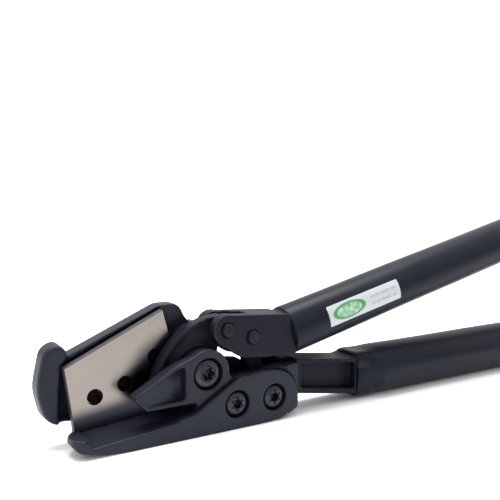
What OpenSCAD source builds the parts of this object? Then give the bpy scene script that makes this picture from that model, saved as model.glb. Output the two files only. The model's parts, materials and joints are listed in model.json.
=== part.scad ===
// Steel strap cutter: a two-handed shear with compound leverage, for steel strapping.
// The foot slides under the strap, the guide arm holds the strap down, and one ground blade
// passes the far edge of the foot. Sizes are in millimetres.
// The origin is under the main pivot, on the flat underside of the foot. +X runs towards the
// handles, -Y is the side of the foot flange and +Z is up. The jaws are shown closed.

/* [Overall] */
// Distance from the main pivot to the ends of both handles
handle_reach = 500; // [380:5:620]
// Rise of the closed upper handle above the horizontal, degrees
upper_rise = 13.2; // [11:0.1:15]
// Height of the main pivot above the ground
pivot_h = 35; // [33:0.5:43]

/* [Layers across the tool] */
// Thickness of the middle layer, which holds the jaw arm and the link
core_t = 9; // [8:0.1:12]
// Thickness of the near side plate
near_plate_t = 9; // [7.5:0.1:12]
// Thickness of the lever's far cheek
far_cheek_t = 6; // [5:0.1:9]
// Thickness of the foot's side flange
flange_t = 7.5; // [7:0.1:9.5]
// How far the flange stands out from the near side plate
flange_proud = 3; // [1.5:0.1:5]
// Depth of the blade holder's back plate
holder_t = 9.4; // [8:0.1:12]
// Overall width of the fork
fork_w = 24; // [22:0.5:28]
// Width of the lower lever's I-section
beam_w = 22; // [18:0.5:26]

/* [Foot] */
// Reach of the foot's toe in front of the main pivot
toe_reach = 81; // [78:0.5:90]
// Rise of the foot's top from the flange to the cutting edge
top_rise = 3.2; // [1:0.1:4]
// Radius of the shallow hollow along the foot's top
hollow_r = 70; // [50:1:120]

/* [Blade] */
// Thickness of the blade
blade_t = 5; // [4:0.1:6]
// Diameter of the holes in the blade's face
blade_hole_d = 9; // [8.6:0.1:10]
// Gap between the blade and the foot's cutting edge
shear_gap = 0.1; // [0.05:0.01:0.3]

/* [Bolts and pins] */
// Diameter of the main pivot bolt
pivot_d = 10; // [8:0.1:12]
// Diameter of the main pivot bolt's head
pivot_head_d = 17; // [15:0.1:19]
// Diameter of the two body screws and the blade screws
screw_d = 8; // [6:0.1:8.4]
// Diameter of the heads of the body and blade screws
screw_head_d = 14; // [12.5:0.1:15]
// Diameter of the two pins in the fork
pin_d = 8; // [6:0.1:9.6]
// How far the fork pins stand out from the fork
pin_proud = 2; // [0:0.1:3]
// Wall of the two bushes
bush_wall = 1.5; // [1:0.1:2]

/* [Handles] */
// Outside diameter of both handle tubes
tube_d = 27; // [22:0.5:33]
// Wall of both handle tubes
tube_wall = 2.5; // [1.5:0.1:3.5]
// Thickness of the upper grip sleeve
upper_grip_t = 2.4; // [1.5:0.1:4]
// Thickness of the lower grip sleeve
lower_grip_t = 3.5; // [1.5:0.1:5]
// Length of the label along the upper grip
label_len = 62; // [30:1:90]

/* [Fits] */
// Radial clearance of each bush or eye on its pin
pin_fit = 0.05; // [0.02:0.01:0.1]
// Side clearance of each moving piece between its cheeks
side_gap = 0.15; // [0.1:0.01:0.3]
// Radial clearance of the clamped screws in their holes
hole_fit = 0.2; // [0.1:0.05:0.4]
// Radial clearance of the link's upper eye
link_play = 1.3; // [1.2:0.05:1.6]

/* [Hidden] */
$fn = 64;
arc_step = 12;     // degrees between the points of a rounded corner
eps = 0.01;

black = [0.16, 0.16, 0.19];
dark = [0.11, 0.11, 0.13];
zinc = [0.55, 0.55, 0.58];

// Planes across the tool, from the near side to the far side
y_flange = -core_t / 2 - near_plate_t - flange_proud;
y_near = -core_t / 2 - near_plate_t;
y_core = core_t / 2;
y_cheek = y_core + far_cheek_t;
y_blade = y_core + shear_gap;
y_holder = y_blade + blade_t;
y_back = y_holder + holder_t;
arm_y = y_core - side_gap;
flange_back = y_flange + flange_t;
foot_w = y_core - y_flange;

// Places in the X-Z plane, measured from the main pivot
ground = -pivot_h;
screw_spots = [[18, -20], [44.5, -20]];
link_foot = screw_spots[1];
eye_spot = [14, 24];
link_spot = [31.5, 18];
blade_spots = [[-61.9, -8], [-44.1, -3.1], [-25.5, 10.4]];
holder_spots = [[-10.8, 18.2], [0, 21.5]];
beam_top = -0.2;              // top of the lower lever beside the near side plate
handle_gap = 1.1;             // gap between the lever and the closed upper grip
collar_x = 124;               // where the lower handle leaves the lever
foot_heel = -8;               // end of the foot's full width
blade_top = [[-78.8, 10.1], [-20.2, 36.8]];  // ends of the blade's top edge
groove_w = 1.2;               // groove in the holder beside the blade
groove_depth = 3.5;
plate_end = 64.2;             // end of the near side plate

// Heads and rings
ring_gap = 0.9;
cone = 0.7;                   // ratio of a button head's top to its full diameter
pivot_head_h = 4.4;
screw_head_h = 4.2;
holder_screw_d = 5;
holder_head_d = 9.4;
holder_head_h = 3;
sink = 0.3;                   // how far a head lies below its face
pivot_ring_d = pivot_head_d + 2 * ring_gap;
screw_ring_d = screw_head_d + 2.7;
nut_h = 0.8 * pivot_d;
screw_nut_h = 0.8 * screw_d;
washer_t = 1.6;
thread_out = 1.5;             // thread that stands out of a nut

// Bosses and eyes
hub_r = pivot_ring_d / 2 + 4.9;
cheek_hub_r = hub_r - 0.3;
holder_clear_r = hub_r + 1.2;
pivot_bush_d = pivot_d + 2 * pin_fit + 2 * bush_wall;
arm_hub_r = hub_r - 0.8;
eye_bush_d = pin_d + 2 * pin_fit + 2 * bush_wall;
eye_r = eye_bush_d / 2 + 2;
fork_eye_r = eye_r + 1.7;
swing_gap = 1;                // clearance round a piece that swings past another
link_eye_r = pin_d / 2 + link_play + 2.6;
link_foot_r = screw_d / 2 + 4;
link_waist = 10;
slot_w = core_t + 0.5;
slot_r = link_eye_r + 1.6;

// Handles
spigot_d = tube_d - 2 * tube_wall;
spigot_len = 25;
upper_grip_d = tube_d + 2 * upper_grip_t;
lower_grip_d = tube_d + 2 * lower_grip_t;
lower_axis = ground + lower_grip_d / 2;
// where the upper handle leaves the fork
socket = [61.6, beam_top + handle_gap + upper_grip_d / 2 * cos(upper_rise)];
plug_t = 8;
mouth = 6;                    // length of the taper at the mouth of a grip
mouth_step = 1.4;             // how much narrower a grip is at its mouth
fork_neck = 14;
upper_len = (handle_reach - socket.x) / cos(upper_rise) - plug_t;
lower_len = handle_reach - collar_x - plug_t;

// Rounding of a corner: points of an arc of radius r that is tangent to both edges
function unit(v) = v / norm(v);
function corner_arc(a, p, b, r) =
    let (u = unit(a - p), v = unit(b - p), half = acos(u * v) / 2,
         c = p + unit(u + v) * r / sin(half),
         s = p + u * r / tan(half) - c, e = p + v * r / tan(half) - c,
         a0 = atan2(s.y, s.x), turn = (atan2(e.y, e.x) - a0 + 540) % 360 - 180,
         n = max(2, ceil(abs(turn) / arc_step)))
    [for (i = [0:n]) c + r * [cos(a0 + turn * i / n), sin(a0 + turn * i / n)]];
// Outline from corners, each [x, z, radius]
function outline(c) =
    [for (i = [0:len(c) - 1])
        let (n = len(c), p = [c[i].x, c[i].y], a = c[(i + n - 1) % n], b = c[(i + 1) % n])
        each c[i][2] == 0 ? [p] : corner_arc([a.x, a.y], p, [b.x, b.y], c[i][2])];

// Outlines, as corners [x, z, radius] from the main pivot
shoe_top = [foot_heel, -19.6];
shoe_bend = [-61, -24.8];
shoe_side = [
    [shoe_top.x, ground, 0], [shoe_top.x, shoe_top.y, 0], [shoe_bend.x, shoe_bend.y, 25],
    [-toe_reach + 7, shoe_bend.y, 4], [-toe_reach + 0.8, ground + 11, 1], [-toe_reach, ground + 7.5, 2],
    [-toe_reach + 4, ground + 3.4, 6], [-52, ground, 30]
];
flange_side = [
    [-20, ground, 0], [35, ground, 30], [50, ground + 1, 10], [61.2, ground + 7, 3], [61, -3, 17],
    [21, -3.6, 12], [-10, -21.8, 8], [-20, -23.6, 0]
];
web_side = [
    [foot_heel - 1, ground + 1, 0], [31, ground + 1, 0], [31, -11, 2], [foot_heel + 4, -11, 0],
    [foot_heel - 1, shoe_top.y, 0]
];
near_side = [
    [foot_heel, ground + 2, 0], [58, ground + 2, 2], [plate_end, ground + 5, 2], [plate_end, -1.5, 1],
    [16, -4.5, 3], [9, 8, 0], [0, 8, 0], [-8, 11.6, 0], [-19.4, 7.8, 6], [-46.6, -7.4, 1],
    [-38, -16, 2], [-7, -15.8, 2], [foot_heel, -20.5, 0]
];
guide_pocket = [[-15, 6.6, 1.5], [-20.4, 5.2, 5], [-43.4, -8, 1], [-37.4, -13.6, 1], [-15, -12.9, 2]];
pocket_tip = -43;             // where the floor of the guide's pocket meets its face
pocket_slope = 11.5;
cheek_side = [
    [foot_heel + 2, ground + 2, 1], [58, ground + 2, 2], [66, ground + 8, 0], [66, beam_top - 0.2, 0],
    [34, -0.6, 4], [30.6, 2, 3], [15, 4, 6], [8, 11, 0], [-9, 10, 0], [-9, -10, 0]
];
root_side = [
    [link_foot.x + 10, ground + 3, 2], [66, ground + 8, 0], [66, beam_top - 0.4, 0],
    [link_foot.x + 12, beam_top - 0.4, 2]
];
beam_side = [
    [plate_end, ground + 12.6, 0], [109, lower_axis - 11.8, 6], [115, lower_axis - 13.4, 3],
    [collar_x, lower_axis - 13.4, 1], [collar_x, lower_axis + 13.4, 1], [115, lower_axis + 13.2, 3],
    [109, lower_axis + 12, 6], [plate_end, beam_top, 0]
];
beam_pocket = [
    [plate_end + 4, ground + 15.6, 1.5], [112.8, lower_axis - 8.6, 1.5],
    [112.8, lower_axis + 9.2, 1.5], [plate_end + 4, -3.6, 1.5]
];
arm_centre = [14, -13];       // centre of the arm's outer curve
arm_r = 45;
arm_side = [
    [11, 8, 0], [11.6, 13, 3], [13, 18, 3], eye_low(), [eye_spot.x, eye_spot.y + eye_r, 0],
    each [for (t = [90:7.5:160]) [arm_centre.x + arm_r * cos(t), arm_centre.y + arm_r * sin(t), 0]],
    [-30.5, -3, 1.5], [-12, -11.5, 6], [0, -11, 0]
];
arm_pocket = [
    each [for (t = [97:7.5:150]) [arm_centre.x + (arm_r - 2.6) * cos(t), arm_centre.y + (arm_r - 2.6) * sin(t), 0]],
    [-24.5, 1, 1], [-9, 16, 3], [6, 16.5, 1], [7, 22, 1]
];
function eye_low() = [eye_spot.x + 4, eye_spot.y - eye_r + 1, 0];
blade_side = [
    [blade_top[0].x, blade_top[0].y, 0], [blade_top[1].x, blade_top[1].y, 0], [-11, 1, 0], [-11, -24, 0], [-73.7, -29, 0], [-74.6, -18.8, 0]
];
holder_side = [
    [-83, 12.6, 2], [-20.3, 39.4, 9], [-7.5, 39.4, 8], [-1.8, 27, 10], [6, 26, 2], [6, 12, 0],
    [-13, -14, 0], [-24, -20, 4], [-73, -21.4, 2], [-83, -21, 2]
];
// groove above the blade's top edge, and the gap between its front edge and the nose
groove_side =
    let (run = unit(blade_top[1] - blade_top[0]), up = [-run.y, run.x] * groove_w)
    [blade_top[0] - run * 2, blade_top[1] + run, blade_top[1] + run + up, blade_top[0] - run * 2 + up];
nose_gap = [[-78.9, 10.4, 0], [-76, -4, 0], [-73.4, -18.6, 1], [-81.4, -18.6, 1], [-80.6, -2, 6]];
pad_side = [[-14.6, 15.5, 0], [-13, 20, 2], [-5.5, 25, 6], [5.5, 27.5, 1], [6, 12, 0], [-12, 8, 0]];
nose_side = [
    [-75, 18, 3], [-80.6, 24.2, 5], [-88.8, 20.4, 8], [-93.4, -1, 25], [-89, -19, 12],
    [-82, -22, 3], [-81, -22, 0], [-81.4, -18, 1], [-80.6, -2, 6], [-78.8, 11, 2]
];
// Corner of the fork's end, at a height across the upper handle's axis
function socket_edge(t, r) = [socket.x - t * sin(upper_rise), socket.y + t * cos(upper_rise), r];
fork_side = [
    [eye_spot.x, eye_spot.y + fork_eye_r - 0.3, 0], socket_edge(tube_d / 2, 3),
    socket_edge(-tube_d / 2 - 0.6, 3),
    [24, 6, 9], [eye_spot.x - fork_eye_r * 0.8, eye_spot.y - fork_eye_r * 0.6, 0]
];
fork_neck_side = [
    [socket.x - 30, 5.8, 0], socket_edge(-tube_d / 2 + 0.6, 0), socket_edge(tube_d, 0), [socket.x - 30, 40, 0]
];

// Extrudes an X-Z outline between two planes across the tool
module slab(y0, y1) {
    translate([0, y1, pivot_h]) rotate([90, 0, 0]) linear_extrude(height = y1 - y0) children();
}
module plate(corners, y0, y1) {
    slab(y0, y1) polygon(outline(corners));
}
// Round bar across the tool, at a place in the X-Z plane
module bar(p, d, y0, y1) {
    translate([p.x, y1, pivot_h + p.y]) rotate([90, 0, 0]) cylinder(d = d, h = y1 - y0);
}
// Local frame of the upper handle, with +X along the tube
module along_upper() {
    translate([socket.x, 0, pivot_h + socket.y]) rotate([0, -upper_rise, 0]) children();
}
// Local frame of the lower handle, with +X along the tube
module along_lower() {
    translate([collar_x, 0, pivot_h + lower_axis]) children();
}
module rod_x(d, x0, x1) {
    translate([x0, 0, 0]) rotate([0, 90, 0]) cylinder(d = d, h = x1 - x0);
}
// Six-lobed drive recess between two planes
module drive(p, size, y0, y1) {
    lobes = 6;
    slab(y0, y1) translate(p) {
        circle(d = size * 0.76);
        for (i = [0:lobes - 1]) rotate(i * 360 / lobes) translate([size * 0.36, 0]) circle(d = size * 0.28);
    }
}
// Button head that faces -Y, with its flat side on the plane y
module near_head(p, d, h, y) {
    difference() {
        union() {
            bar(p, d, y - h / 2, y);
            translate([p.x, y - h / 2, pivot_h + p.y]) rotate([90, 0, 0])
                cylinder(d1 = d, d2 = d * cone, h = h / 2);
        }
        drive(p, d * 0.5, y - h - 1, y - h * 0.3);
    }
}
// Button head that faces +Y, with its flat side on the plane y
module far_head(p, d, h, y) {
    difference() {
        union() {
            bar(p, d, y, y + h / 2);
            translate([p.x, y + h / 2, pivot_h + p.y]) rotate([-90, 0, 0])
                cylinder(d1 = d, d2 = d * cone, h = h / 2);
        }
        drive(p, d * 0.5, y + h * 0.3, y + h + 1);
    }
}
module hex_nut(p, d, h, y) {
    across_flats = 1.65 * d;
    difference() {
        translate([p.x, y + h, pivot_h + p.y]) rotate([90, 0, 0])
            cylinder(d = across_flats / cos(30), h = h, $fn = 6);
        bar(p, d, y - 1, y + h + 1);
    }
}

module foot() {
    chord = norm([foot_w, top_rise]);
    tilt = atan(top_rise / foot_w);
    drop = sqrt(hollow_r * hollow_r - chord * chord / 4);
    slope = atan((shoe_top.y - shoe_bend.y) / (shoe_top.x - shoe_bend.x));
    color(black) difference() {
        union() {
            difference() {
                intersection() {
                    plate(shoe_side, y_flange, y_core);
                    shoe_plan();
                }
                // shallow hollow along the top, from the near rim up to the cutting edge
                translate([shoe_top.x, y_core - foot_w / 2 - drop * sin(tilt),
                           pivot_h + shoe_top.y - top_rise / 2 + drop * cos(tilt)])
                    rotate([0, -slope, 0]) rod_x(2 * hollow_r, 2.5 - toe_reach - shoe_top.x, 30);
            }
            plate(flange_side, y_flange, flange_back);
            plate(web_side, -y_core, y_core);
        }
        bar([0, 0], 2 * (arm_hub_r + 1), -y_core - eps, y_core + 1);
        for (p = screw_spots) {
            bar(p, screw_ring_d, y_flange - 1, y_flange + screw_head_h + sink);
            bar(p, screw_d + 2 * hole_fit, y_flange, y_core + 1);
        }
    }
}
// Plan outline of the shoe, with its rounded toe
module shoe_plan() {
    linear_extrude(height = 2 * pivot_h)
        polygon(outline([
            [foot_heel, y_flange, 0], [foot_heel, y_core, 0], [-toe_reach + 5.5, y_core, 4],
            [-toe_reach - 0.5, y_core - 9, 7], [-toe_reach + 1, y_flange, 8]
        ]));
}

module near_side_plate() {
    color(black) difference() {
        union() {
            plate(near_side, y_near, -y_core);
            bar([0, 0], 2 * hub_r, y_near, -y_core);
        }
        plate(flange_side, y_near - 1, flange_back);
        // pocket that deepens towards the boss
        translate([pocket_tip, y_near, 0]) rotate([0, 0, pocket_slope]) translate([-pocket_tip, 0, 0])
            plate(guide_pocket, -near_plate_t, 0);
        bar([0, 0], pivot_ring_d, y_near - 1, y_near + pivot_head_h + sink);
        bar([0, 0], pivot_d + 2 * hole_fit, y_near, 0);
        for (p = screw_spots) bar(p, screw_d + 2 * hole_fit, y_near, 0);
    }
}

module lower_lever() {
    color(black) difference() {
        union() {
            plate(cheek_side, y_core, y_cheek);
            bar([0, 0], 2 * cheek_hub_r, y_core, y_cheek);
            plate(root_side, -y_core, y_core + eps);
            difference() {
                plate(beam_side, -beam_w / 2, beam_w / 2);
                plate(beam_pocket, -beam_w / 2 - 1, -y_core);
                plate(beam_pocket, y_core, beam_w / 2 + 1);
            }
            along_lower() rod_x(spigot_d, -5, spigot_len);
        }
        bar([0, 0], pivot_d + 2 * hole_fit, 0, y_cheek + 1);
        for (p = screw_spots) bar(p, screw_d + 2 * hole_fit, 0, y_cheek + 1);
    }
}

module handle_tube(len) {
    difference() {
        rod_x(tube_d, 0, len);
        rod_x(spigot_d, -1, len + 1);
    }
}
// Grip sleeve: a bore on the tube, and an outside that narrows towards its mouth
module grip_sleeve(d, len) {
    mouth_d = d - mouth_step;
    rotate([0, 90, 0]) rotate_extrude()
        polygon([[tube_d / 2, 0], [mouth_d / 2, 0], [d / 2, mouth], [d / 2, len], [tube_d / 2, len]]);
}
module end_plug(d, len) {
    round_r = 5;
    rod_x(spigot_d, len - 20, len);
    translate([len, 0, 0]) rotate([0, 90, 0]) rotate_extrude()
        polygon([[0, 0], [d / 2, 0],
                 for (t = [0:15:90]) [d / 2 - round_r * (1 - cos(t)), plug_t - round_r * (1 - sin(t))],
                 [0, plug_t]]);
}
module lower_tube() {
    color(dark) along_lower() handle_tube(lower_len);
}
module lower_grip() {
    color(dark) along_lower() grip_sleeve(lower_grip_d, lower_len);
}
module lower_end_plug() {
    color(dark) along_lower() end_plug(lower_grip_d, lower_len);
}
module upper_tube() {
    color(dark) along_upper() handle_tube(upper_len);
}
module upper_grip() {
    color(dark) along_upper() grip_sleeve(upper_grip_d, upper_len);
}
module upper_end_plug() {
    color(dark) along_upper() end_plug(upper_grip_d, upper_len);
}

module pivot_bolt() {
    head_y = y_near + pivot_head_h + sink;
    color(black) {
        near_head([0, 0], pivot_head_d, pivot_head_h, head_y);
        bar([0, 0], pivot_d, head_y - eps, y_cheek + washer_t + nut_h + thread_out);
    }
}
module pivot_washer() {
    color(zinc) difference() {
        bar([0, 0], 2 * pivot_d, y_cheek, y_cheek + washer_t);
        bar([0, 0], pivot_d + 2 * hole_fit, y_cheek - 1, y_cheek + washer_t + 1);
    }
}
module pivot_nut() {
    color(black) hex_nut([0, 0], pivot_d, nut_h, y_cheek + washer_t);
}
module body_screws() {
    head_y = y_flange + screw_head_h + sink;
    color(black) for (p = screw_spots) {
        near_head(p, screw_head_d, screw_head_h, head_y);
        bar(p, screw_d, head_y - eps, y_cheek + screw_nut_h + thread_out);
    }
}
module body_nuts() {
    color(black) for (p = screw_spots) hex_nut(p, screw_d, screw_nut_h, y_cheek);
}

module jaw_arm() {
    pocket_depth = 1.6;
    color(black) difference() {
        union() {
            plate(arm_side, -arm_y, arm_y);
            bar([0, 0], 2 * arm_hub_r, -arm_y, arm_y);
            bar(eye_spot, 2 * eye_r, -arm_y, arm_y);
        }
        difference() {
            plate(arm_pocket, -arm_y - 1, -arm_y + pocket_depth);
            bar(eye_spot, 2 * fork_eye_r, -arm_y - 2, arm_y);
        }
        bar([0, 0], pivot_bush_d, -arm_y - 1, arm_y + 1);
        bar(eye_spot, eye_bush_d, -arm_y - 1, arm_y + 1);
        for (p = holder_spots) bar(p, holder_screw_d, -1.5, arm_y + 1);
    }
}
module bush(p, inner, outer) {
    color(zinc) difference() {
        bar(p, outer, -arm_y, arm_y);
        bar(p, inner + 2 * pin_fit, -arm_y - 1, arm_y + 1);
    }
}
module pivot_bush() {
    bush([0, 0], pivot_d, pivot_bush_d);
}
module eye_bush() {
    bush(eye_spot, pin_d, eye_bush_d);
}

module blade_holder() {
    nose_y = y_holder - 2.6;
    color(black) difference() {
        union() {
            plate(holder_side, y_holder, y_back);
            plate(nose_side, nose_y, y_back);
            plate(pad_side, arm_y, y_back);
        }
        bar([0, 0], 2 * holder_clear_r, 0, y_back + 1);
        bar(eye_spot, 2 * (fork_eye_r + swing_gap), 0, y_back + 1);
        plate(blade_side, 0, y_holder);
        slab(0, y_holder + groove_depth) polygon(groove_side);
        plate(nose_gap, 0, y_holder + groove_depth);
        for (p = blade_spots) bar(p, screw_d + 2 * hole_fit, y_holder - 1, y_back + 1);
        for (p = holder_spots) bar(p, holder_screw_d + 2 * hole_fit, 0, y_back + 1);
    }
}
module upper_blade() {
    thread_y = y_holder - 1.5;
    color([0.72, 0.68, 0.64]) difference() {
        plate(blade_side, y_blade, y_holder);
        bar([0, 0], 2 * holder_clear_r, 0, y_holder + 1);
        for (p = blade_spots) {
            bar(p, blade_hole_d, 0, thread_y);
            bar(p, screw_d, 0, y_holder + 1);
        }
    }
}
module blade_screws() {
    color(black) for (p = blade_spots) {
        far_head(p, screw_head_d, screw_head_h, y_back);
        bar(p, screw_d, y_holder - 1.5, y_back + eps);
    }
}
module holder_screws() {
    color(black) for (p = holder_spots) {
        far_head(p, holder_head_d, holder_head_h, y_back);
        bar(p, holder_screw_d, -1.5, y_back + eps);
    }
}

module upper_fork() {
    reach = socket.x;         // further than the slot's open side goes
    color(black) difference() {
        union() {
            plate(fork_side, -fork_w / 2, fork_w / 2);
            bar(eye_spot, 2 * fork_eye_r, -fork_w / 2, fork_w / 2);
            along_upper() rod_x(spigot_d, -6, spigot_len);
            // rounded top, which widens to the mouth of the grip
            intersection() {
                plate(fork_neck_side, -fork_w / 2, fork_w / 2);
                along_upper() translate([-fork_neck, 0, 0]) rotate([0, 90, 0])
                    cylinder(d1 = tube_d, d2 = upper_grip_d - mouth_step, h = fork_neck);
            }
        }
        bar(link_spot, 2 * slot_r, -slot_w / 2, slot_w / 2);
        slab(-slot_w / 2, slot_w / 2) translate([-reach, -reach]) square([link_spot.x + reach, 2 * reach]);
        slab(-slot_w / 2, slot_w / 2) polygon(link_shank(slot_r));
        for (p = [eye_spot, link_spot]) bar(p, pin_d, -fork_w, fork_w);
    }
}
module fork_pin(p) {
    end_y = fork_w / 2 + pin_proud;
    bevel = 0.6;
    color(black) {
        bar(p, pin_d, -end_y + bevel, end_y - bevel);
        for (side = [-1, 1]) translate([p.x, side * (end_y - bevel), pivot_h + p.y])
            rotate([-90 * side, 0, 0]) cylinder(d1 = pin_d, d2 = pin_d - 2 * bevel, h = bevel);
    }
}
module arm_pin() {
    fork_pin(eye_spot);
}
module link_pin() {
    fork_pin(link_spot);
}
module label_sticker() {
    start = 26.6;
    low = -4.4;
    high = 8.8;
    film = 0.25;
    color("white") along_upper() intersection() {
        difference() {
            rod_x(upper_grip_d + 2 * film, start, start + label_len);
            rod_x(upper_grip_d, start - 1, start + label_len + 1);
        }
        translate([start - 1, -upper_grip_d, low]) cube([label_len + 2, upper_grip_d, high - low]);
    }
}

// Shank of the link, as a bar of the given half width between its two eyes
function link_shank(half) =
    let (run = link_spot - link_foot, side = unit([run.y, -run.x]) * half)
    [link_foot + side, link_spot + side, link_spot - side, link_foot - side];
module toggle_link() {
    color(black) difference() {
        union() {
            bar(link_foot, 2 * link_foot_r, -arm_y, arm_y);
            bar(link_spot, 2 * link_eye_r, -arm_y, arm_y);
            slab(-arm_y, arm_y) polygon(link_shank(link_waist / 2));
        }
        bar(link_foot, screw_d + 2 * pin_fit, -y_core, y_core);
        bar(link_spot, pin_d + 2 * link_play, -y_core, y_core);
    }
}

foot();
near_side_plate();
lower_lever();
lower_tube();
lower_grip();
lower_end_plug();
pivot_bolt();
pivot_washer();
pivot_nut();
body_screws();
body_nuts();
jaw_arm();
pivot_bush();
eye_bush();
blade_holder();
upper_blade();
blade_screws();
holder_screws();
upper_fork();
arm_pin();
link_pin();
upper_tube();
upper_grip();
upper_end_plug();
label_sticker();
toggle_link();
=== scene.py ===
import json
import math

import bmesh
import bpy
import numpy as np
from mathutils import Matrix, Vector
from mathutils.bvhtree import BVHTree
from mathutils.kdtree import KDTree

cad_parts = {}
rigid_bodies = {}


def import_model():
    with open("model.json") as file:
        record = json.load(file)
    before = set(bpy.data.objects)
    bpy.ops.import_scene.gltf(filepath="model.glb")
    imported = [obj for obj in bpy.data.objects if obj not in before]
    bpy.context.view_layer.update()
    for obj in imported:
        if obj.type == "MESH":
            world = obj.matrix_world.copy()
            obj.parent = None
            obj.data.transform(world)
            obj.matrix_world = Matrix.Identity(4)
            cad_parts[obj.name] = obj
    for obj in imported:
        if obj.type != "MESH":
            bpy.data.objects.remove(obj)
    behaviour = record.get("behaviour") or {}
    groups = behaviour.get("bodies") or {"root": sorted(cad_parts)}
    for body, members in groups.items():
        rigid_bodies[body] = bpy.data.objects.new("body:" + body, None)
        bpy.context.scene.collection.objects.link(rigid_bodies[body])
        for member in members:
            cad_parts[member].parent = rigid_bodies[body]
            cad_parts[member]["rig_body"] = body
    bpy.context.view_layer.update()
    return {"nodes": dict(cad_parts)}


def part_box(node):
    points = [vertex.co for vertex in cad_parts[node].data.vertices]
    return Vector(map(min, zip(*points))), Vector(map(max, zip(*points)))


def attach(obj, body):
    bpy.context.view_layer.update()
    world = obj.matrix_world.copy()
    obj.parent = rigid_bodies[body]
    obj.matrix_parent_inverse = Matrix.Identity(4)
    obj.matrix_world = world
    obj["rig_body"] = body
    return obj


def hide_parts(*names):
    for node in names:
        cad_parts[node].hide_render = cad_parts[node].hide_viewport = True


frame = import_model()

bl_info = {
    "name": "Steel strap cutter",
    "version": (1, 0, 0),
    "blender": (4, 5, 0),
    "location": "3D View > Sidebar > Strap Cutter",
    "description": "Builds a two-handed steel strap cutter around its packed frame",
    "category": "Object",
}

MM = 0.001
FULL_TURN = 2 * math.pi
# Line on the blade's face below which a painted dark reflection of the foot lies: a place on it
# and its slope
REFLECTION_LINE = (-73.7 * MM, 19.0 * MM, 0.134)
# Centre of the painted shadow beside the arm, and the band over which that shadow fades
ARM_SHADE_CENTRE = (-10.4 * MM, 26.4 * MM)
ARM_SHADE_REACH = (26.5 * MM, 39 * MM)
# How far averaging moves a vertex of an edge that gets the full lighter edge tone, partly real
# wear and partly painted highlight
FULL_WEAR_AND_HIGHLIGHT = 0.3 * MM
# Painted shade in recesses: size of the coarse skin's faces, rays from each vertex, least facing
# of a ray, how far a ray starts from the skin, its length, and passes that blur the result
SHADE_SKIN = 1.5 * MM
SHADE_RAYS = 40
GRAZING = 0.05
SHADE_LIFT = 0.8 * MM
SHADE_REACH = 26 * MM
SHADE_PASSES = 14
# A screw drive's radius as a share of the head's, and the depth of its six lobes
DRIVE_SHARE = 0.47
LOBE_DEPTH = 0.17
# Half width, half height and length of the lower sleeve's square mouth, where it starts
# along the grip, and the wall of the sleeves
LOWER_MOUTH = (12.6 * MM, 15.2 * MM, 22 * MM)
LOWER_START = -10 * MM
SLEEVE_WALL = 2.2 * MM
# The camera's place and the direction in which it looks
CAMERA_PLACE = (-0.1898, -0.3624, 0.1448)
CAMERA_AHEAD = (0.5276, 0.8443, -0.0941)
# Local Z of a turned piece, laid towards the near side and towards the far side
TO_NEAR = Matrix.Rotation(math.radians(90), 4, "X")
TO_FAR = Matrix.Rotation(math.radians(-90), 4, "X")


# ---------------------------------------------------------------- node trees


class Wire:
    """A socket in a node tree. Arithmetic on it adds the Math nodes that work it out."""

    def __init__(self, graph, socket):
        self.graph = graph
        self.socket = socket

    def math(self, operation, *others):
        return self.graph.math(operation, self, *others)

    def __add__(self, other):
        return self.math("ADD", other)

    def __sub__(self, other):
        return self.math("SUBTRACT", other)

    def __rsub__(self, other):
        return self.graph.math("SUBTRACT", other, self)

    def __mul__(self, other):
        return self.math("MULTIPLY", other)

    def __truediv__(self, other):
        return self.math("DIVIDE", other)

    def __pow__(self, other):
        return self.math("POWER", other)

    __radd__, __rmul__ = __add__, __mul__

    def beside(self, name):
        """Another output of the same node."""
        return Wire(self.graph, self.socket.node.outputs[name])

    def between(self, low, high):
        """0 below low, 1 above high, and a smooth step from one to the other."""
        settings = {"interpolation_type": "SMOOTHSTEP"}
        inputs = {"Value": self, "From Min": low, "From Max": high}
        return self.graph.node("ShaderNodeMapRange", settings, inputs)


class Graph:
    """A node tree under construction. node() adds a node and gives one of its outputs."""

    def __init__(self, tree):
        self.tree = tree

    def node(self, kind, settings=None, inputs=None, output=0):
        made = self.tree.nodes.new(kind)
        for name, value in (settings or {}).items():
            setattr(made, name, value)
        for name, value in (inputs or {}).items():
            if isinstance(value, Wire):
                self.tree.links.new(value.socket, made.inputs[name])
            else:
                made.inputs[name].default_value = value
        return Wire(self, made.outputs[output]) if len(made.outputs) else made

    def math(self, operation, *values):
        return self.node("ShaderNodeMath", {"operation": operation}, dict(enumerate(values)))

    def mix(self, factor, first, second):
        """Colour between first, at factor 0, and second, at factor 1."""
        inputs = {0: factor, 6: first, 7: second}
        return self.node("ShaderNodeMix", {"data_type": "RGBA"}, inputs, 2)

    def noise(self, place, scale, detail=2.0, roughness=0.5):
        inputs = {"Vector": place, "Scale": scale, "Detail": detail, "Roughness": roughness}
        return self.node("ShaderNodeTexNoise", {"noise_dimensions": "3D"}, inputs)

    def stretched(self, place, scale):
        """The place, scaled by a different amount along each axis."""
        return self.node("ShaderNodeMapping", {"vector_type": "POINT"},
                         {"Vector": place, "Scale": scale})

    def part_of(self, vector, axis="X"):
        """One part of a vector. beside() of the result gives the others."""
        return self.node("ShaderNodeSeparateXYZ", {}, {"Vector": vector}, axis)

    def object_place(self):
        return self.node("ShaderNodeTexCoord", output="Object")

    def attribute(self, name):
        return self.node("ShaderNodeAttribute", {"attribute_name": name}, output="Fac")

    def bump(self, height, distance, strength=1.0):
        inputs = {"Height": height, "Distance": distance, "Strength": strength}
        return self.node("ShaderNodeBump", {}, inputs)


def new_material(name):
    material = bpy.data.materials.new(name)
    material.use_nodes = True
    material.node_tree.nodes.clear()
    return material, Graph(material.node_tree)


def shader(graph, **sockets):
    """A Principled shader. Socket names have _ for a space."""
    inputs = {name.replace("_", " "): value for name, value in sockets.items()}
    return graph.node("ShaderNodeBsdfPrincipled", {}, inputs)


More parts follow.
